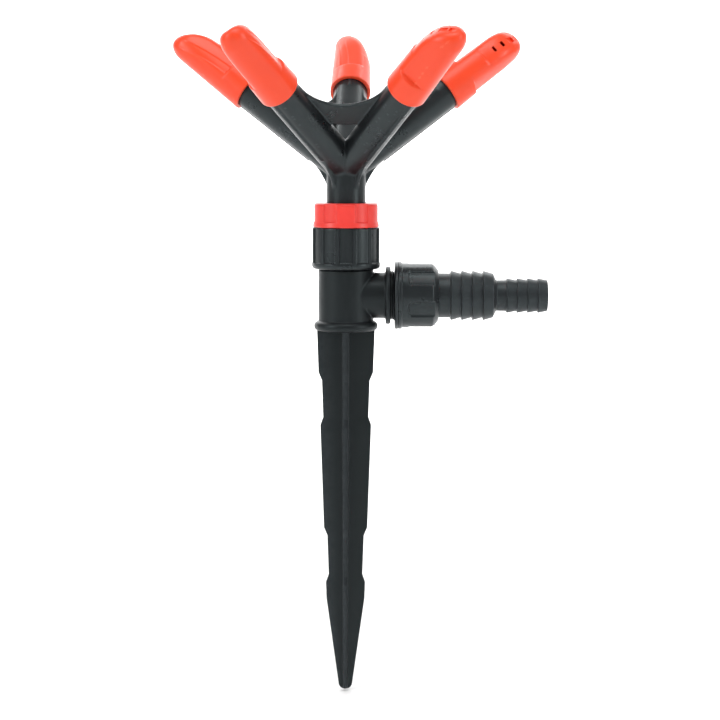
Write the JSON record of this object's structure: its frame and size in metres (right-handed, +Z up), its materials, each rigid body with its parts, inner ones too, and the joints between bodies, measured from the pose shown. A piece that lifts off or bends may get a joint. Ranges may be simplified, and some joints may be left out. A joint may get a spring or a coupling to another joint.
{
  "type": "rotating lawn sprinkler",
  "caption": "Rotating lawn sprinkler on a ground spike, with a crown of upswept arms, slotted turnable nozzles and a barbed hose tail on a side branch.",
  "frame": {"origin": "on the spike's axis, at the underside of the body's bead ring, which is ground level when the spike is pushed in", "axes": "+Z up along the spike and the stem; +X along the side branch, towards the hose; -Y is the side that the picture looks at"},
  "size_m": [0.1567, 0.1411, 0.2769],
  "materials": {
    "gloss_black": "moulded black ABS, semi-gloss",
    "matt_black": "moulded black ABS, fine matt grain",
    "orange": "moulded orange-red plastic, semi-gloss",
    "red": "moulded red plastic, semi-gloss",
    "rubber": "black moulded rubber",
    "acetal": "natural acetal"
  },
  "bodies": {
    "tee": {"spike_tee": "matt_black", "swivel_base": "gloss_black", "base_gasket": "rubber", "rotor_seal": "rubber"},
    "rotor": {"rotor": "gloss_black", "nozzle_o_ring_1": "rubber", "nozzle_o_ring_2": "rubber", "nozzle_o_ring_3": "rubber", "nozzle_o_ring_4": "rubber", "nozzle_o_ring_5": "rubber"},
    "nozzle_1": {"nozzle_1": "orange"},
    "nozzle_2": {"nozzle_2": "orange"},
    "nozzle_3": {"nozzle_3": "orange"},
    "nozzle_4": {"nozzle_4": "orange"},
    "nozzle_5": {"nozzle_5": "orange"},
    "tail": {"hose_tail": "gloss_black", "tail_washer": "rubber"},
    "nut": {"coupling_nut": "gloss_black"},
    "cap_washer": {"thrust_washer": "acetal"},
    "cap": {"retaining_cap": "red"}
  },
  "joints": [
    {"name": "rotor_spin", "type": "hinge", "parent": "tee", "child": "rotor", "pos_m": [0, 0, 0.0495], "axis": [0, 0, 1], "continuous": true},
    {"name": "nozzle_1_turn", "type": "hinge", "parent": "rotor", "child": "nozzle_1", "pos_m": [0.00149, 0.04274, 0.0988], "axis": [0.0282, 0.8065, 0.5906], "range_deg": [-90, 90]},
    {"name": "nozzle_2_turn", "type": "hinge", "parent": "rotor", "child": "nozzle_2", "pos_m": [-0.04019, 0.01463, 0.0988], "axis": [-0.7583, 0.276, 0.5906], "range_deg": [-90, 90]},
    {"name": "nozzle_3_turn", "type": "hinge", "parent": "rotor", "child": "nozzle_3", "pos_m": [-0.02633, -0.0337, 0.0988], "axis": [-0.4968, -0.6359, 0.5906], "range_deg": [-90, 90]},
    {"name": "nozzle_4_turn", "type": "hinge", "parent": "rotor", "child": "nozzle_4", "pos_m": [0.02392, -0.03546, 0.0988], "axis": [0.4512, -0.669, 0.5906], "range_deg": [-90, 90]},
    {"name": "nozzle_5_turn", "type": "hinge", "parent": "rotor", "child": "nozzle_5", "pos_m": [0.04111, 0.01179, 0.0988], "axis": [0.7757, 0.2224, 0.5906], "range_deg": [-90, 90]},
    {"name": "tail_slide", "type": "slide", "parent": "tee", "child": "tail", "axis": [1, 0, 0], "range_m": [0, 0.009]},
    {"name": "nut_turn", "type": "hinge", "parent": "tail", "child": "nut", "pos_m": [0.028, 0, 0.0147], "axis": [1, 0, 0], "range_deg": [0, 1780]},
    {"name": "cap_lift", "type": "slide", "parent": "tee", "child": "cap_washer", "axis": [0, 0, 1], "range_m": [0, 0.005]},
    {"name": "cap_turn", "type": "hinge", "parent": "cap_washer", "child": "cap", "pos_m": [0, 0, 0.048], "axis": [0, 0, 1], "range_deg": [0, 900]}
  ],
  "couplings": [
    {"joint": "tail_slide", "follows": "nut_turn", "m_per_rad": 0.00028871},
    {"joint": "cap_lift", "follows": "cap_turn", "m_per_rad": 0.00031831}
  ]
}
